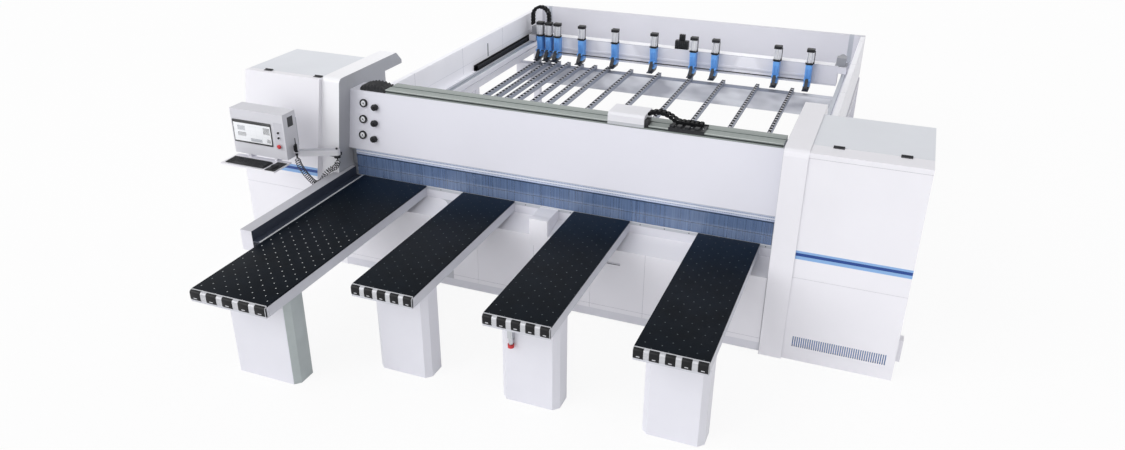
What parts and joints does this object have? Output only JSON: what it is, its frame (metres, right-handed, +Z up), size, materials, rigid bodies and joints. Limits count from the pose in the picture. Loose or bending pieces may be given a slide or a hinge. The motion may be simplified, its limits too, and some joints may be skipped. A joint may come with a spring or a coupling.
{
  "type": "beam saw",
  "caption": "CNC panel saw with a slotted table under a pressure beam, air tables in front, a swivel console and a gripper gantry over roller rails behind.",
  "frame": {"origin": "on the floor below the middle of the cut line, at the underside of the middle levelling foot", "axes": "+X to the right along the cut, +Y from the operator towards the grippers, +Z up"},
  "size_m": [6.6916, 8.309, 2.0003],
  "materials": {
    "painted_white": "semi gloss powder coat",
    "painted_grey": "satin powder coat",
    "machined_steel": "machined",
    "anodised_rail": "anodised",
    "black_rubber": "matt",
    "pale_plastic": "satin",
    "curtain_plastic": "clear tinted strips",
    "black_plastic": "satin",
    "blade_steel": "ground",
    "rail_steel": "zinc plated",
    "gripper_blue": "gloss",
    "black_steel": "black oxide",
    "pale_metal": "satin",
    "screen_glass": "gloss",
    "red_plastic": "gloss",
    "black_hose": "satin",
    "valve_metal": "cast",
    "black_table": "satin"
  },
  "bodies": {
    "machine": {"base_frame": "painted_grey", "base_front_cover": "painted_white", "saw_table": "machined_steel", "left_column": "painted_white", "right_column": "painted_white", "left_cabinet": "painted_white", "right_cabinet": "painted_white", "beam_girder": "painted_grey", "beam_cover": "painted_white", "beam_rail": "anodised_rail", "rail_bellows": "black_rubber", "curtain_band": "pale_plastic", "strip_curtain": "curtain_plastic", "pressure_gauges": "black_plastic", "rear_walls": "painted_white", "rear_frame": "painted_grey", "roller_rails": "rail_steel", "chain_trough": "black_plastic", "squaring_fence": "pale_metal", "console_bracket": "painted_grey", "air_hose": "black_hose", "air_valve": "valve_metal", "table_stand_1": "painted_white", "table_top_1": "black_table", "table_stand_2": "painted_white", "table_top_2": "black_table", "table_stand_3": "painted_white", "table_top_3": "black_table", "table_stand_4": "painted_white", "table_top_4": "black_table"},
    "pressure_beam": {"pressure_beam": "machined_steel"},
    "saw_carriage": {"saw_carriage": "painted_grey"},
    "saw_lift": {"saw_lift": "painted_grey"},
    "main_blade": {"main_blade": "blade_steel"},
    "scoring_blade": {"scoring_blade": "blade_steel"},
    "gantry": {"gantry_beam": "painted_grey", "valve_block": "black_plastic", "gantry_chain": "black_plastic", "gripper_row": "gripper_blue"},
    "gripper_jaws": {"gripper_jaws": "black_steel"},
    "aligner": {"aligner_carriage": "painted_white", "aligner_chain": "black_plastic"},
    "aligner_roller": {"aligner_roller": "black_rubber"},
    "console": {"console_arm": "painted_white", "console_housing": "painted_white", "console_screen": "screen_glass", "keyboard_tray": "pale_metal", "keyboard": "black_plastic", "mouse_and_pad": "black_rubber", "air_gun": "black_plastic"},
    "start_button": {"start_button": "black_plastic"},
    "reset_button": {"reset_button": "black_plastic"},
    "emergency_stop": {"emergency_stop": "red_plastic"},
    "gun_lever": {"gun_lever": "black_plastic"},
    "regulator_knob_1": {"regulator_knob_1": "black_plastic"},
    "regulator_knob_2": {"regulator_knob_2": "black_plastic"},
    "regulator_knob_3": {"regulator_knob_3": "black_plastic"},
    "left_lid": {"left_lid": "painted_white"},
    "right_lid": {"right_lid": "painted_white"},
    "valve_knob": {"valve_knob": "red_plastic"}
  },
  "joints": [
    {"name": "pressure_beam_stroke", "type": "slide", "parent": "machine", "child": "pressure_beam", "axis": [0, 0, 1], "range_m": [-0.098, 0]},
    {"name": "saw_travel", "type": "slide", "parent": "machine", "child": "saw_carriage", "axis": [1, 0, 0], "range_m": [0, 3.62]},
    {"name": "saw_lift_stroke", "type": "slide", "parent": "saw_carriage", "child": "saw_lift", "axis": [0, 0, 1], "range_m": [0, 0.12]},
    {"name": "main_blade_spin", "type": "hinge", "parent": "saw_lift", "child": "main_blade", "pos_m": [-1.815, 0, 0.728], "axis": [0, 1, 0], "continuous": true},
    {"name": "scoring_blade_spin", "type": "hinge", "parent": "saw_lift", "child": "scoring_blade", "pos_m": [-2.081, 0, 0.775], "axis": [0, 1, 0], "continuous": true},
    {"name": "gantry_travel", "type": "slide", "parent": "machine", "child": "gantry", "axis": [0, 1, 0], "range_m": [-4.1, 0]},
    {"name": "gripper_jaw_swing", "type": "hinge", "parent": "gantry", "child": "gripper_jaws", "pos_m": [0, 4.676, 1.092], "axis": [-1, 0, 0], "range_deg": [0, 18]},
    {"name": "aligner_travel", "type": "slide", "parent": "machine", "child": "aligner", "axis": [1, 0, 0], "range_m": [-2.3, 0.66]},
    {"name": "aligner_roller_spin", "type": "hinge", "parent": "aligner", "child": "aligner_roller", "pos_m": [0.715, 0.208, 1.0024], "axis": [0, 0, 1], "continuous": true},
    {"name": "console_swing", "type": "hinge", "parent": "machine", "child": "console", "pos_m": [-2.165, -0.43, 1.305], "axis": [0, 0, 1], "range_deg": [-6, 50], "deforming": ["air_hose"]},
    {"name": "start_button_press", "type": "slide", "parent": "console", "child": "start_button", "axis": [0, 1, 0], "range_m": [0, 0.004], "stiffness_N_per_m": 400},
    {"name": "reset_button_press", "type": "slide", "parent": "console", "child": "reset_button", "axis": [0, 1, 0], "range_m": [0, 0.004], "stiffness_N_per_m": 400},
    {"name": "emergency_stop_press", "type": "slide", "parent": "console", "child": "emergency_stop", "axis": [0, 1, 0], "range_m": [0, 0.006], "stiffness_N_per_m": 600},
    {"name": "gun_lever_squeeze", "type": "hinge", "parent": "console", "child": "gun_lever", "pos_m": [-2.363, -0.819, 1.48], "axis": [1, 0, 0], "range_deg": [0, 8], "stiffness_Nm_per_rad": 0.4, "springref_deg": -2.86},
    {"name": "regulator_knob_1_turn", "type": "hinge", "parent": "machine", "child": "regulator_knob_1", "pos_m": [-1.896, -0.07776, 1.69896], "axis": [0, -0.9804, 0.1971], "range_deg": [-135, 135]},
    {"name": "regulator_knob_2_turn", "type": "hinge", "parent": "machine", "child": "regulator_knob_2", "pos_m": [-1.896, -0.10968, 1.54014], "axis": [0, -0.9804, 0.1971], "range_deg": [-135, 135]},
    {"name": "regulator_knob_3_turn", "type": "hinge", "parent": "machine", "child": "regulator_knob_3", "pos_m": [-1.896, -0.14161, 1.38132], "axis": [0, -0.9804, 0.1971], "range_deg": [-135, 135]},
    {"name": "left_lid_swing", "type": "hinge", "parent": "machine", "child": "left_lid", "pos_m": [-2.853, -0.189, 1.9928], "axis": [1, 0, 0], "range_deg": [0, 80]},
    {"name": "right_lid_swing", "type": "hinge", "parent": "machine", "child": "right_lid", "pos_m": [2.876, -0.217, 1.9928], "axis": [1, 0, 0], "range_deg": [0, 80]},
    {"name": "valve_knob_turn", "type": "hinge", "parent": "machine", "child": "valve_knob", "pos_m": [0.42, -1.9313, 0.572], "axis": [0, 0, 1], "range_deg": [0, 90]}
  ]
}
